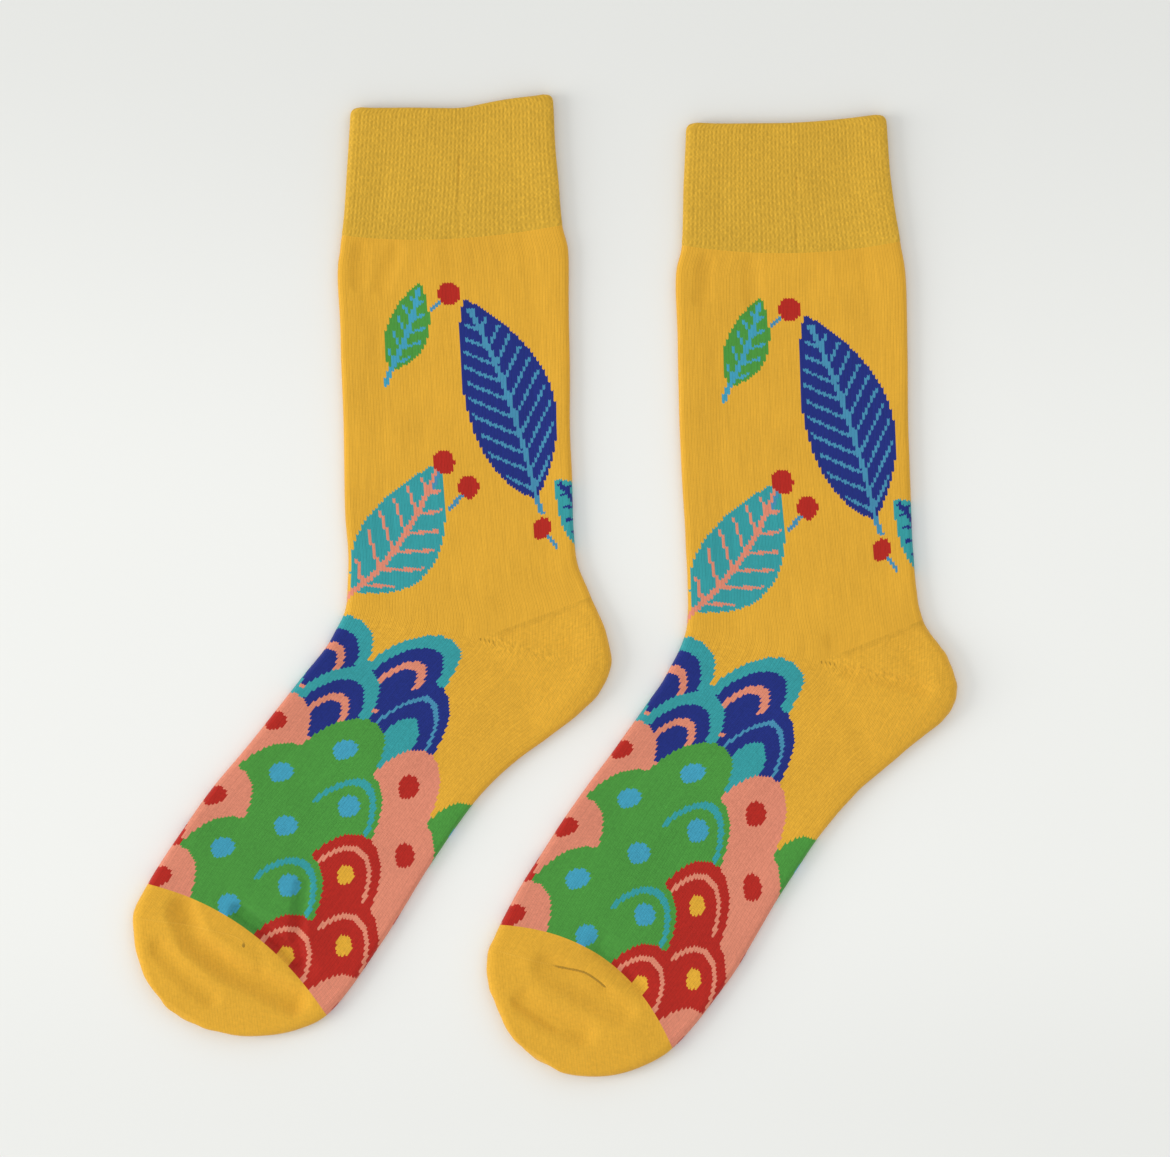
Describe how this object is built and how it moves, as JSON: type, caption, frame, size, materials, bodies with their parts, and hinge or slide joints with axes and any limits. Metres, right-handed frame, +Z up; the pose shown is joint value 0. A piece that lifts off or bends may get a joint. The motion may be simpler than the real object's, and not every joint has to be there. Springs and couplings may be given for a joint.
{
  "type": "pair of crew socks",
  "caption": "Pair of knitted crew socks laid flat side by side, each with a ribbed cuff, leg, heel pocket, patterned foot and toe pocket.",
  "frame": {"origin": "centre of the footprint of the pair of socks, on the surface they lie on", "axes": "+Z up out of the surface, +Y from the toes towards the cuffs, +X across from the left sock to the right one"},
  "size_m": [0.3228, 0.385, 0.0067],
  "materials": {
    "cuff_yarn": "gold cotton yarn, fine ribs, matt",
    "leg_yarn": "gold cotton plain knit with leaf motifs",
    "heel_yarn": "gold cotton plain knit, matt",
    "foot_yarn": "patterned cotton knit, scallops in several colours",
    "toe_yarn": "gold cotton plain knit, matt"
  },
  "bodies": {
    "root": {"left_cuff": "cuff_yarn", "left_leg": "leg_yarn", "left_heel": "heel_yarn", "left_foot": "foot_yarn", "left_toe": "toe_yarn", "right_cuff": "cuff_yarn", "right_leg": "leg_yarn", "right_heel": "heel_yarn", "right_foot": "foot_yarn", "right_toe": "toe_yarn"}
  },
  "joints": []
}
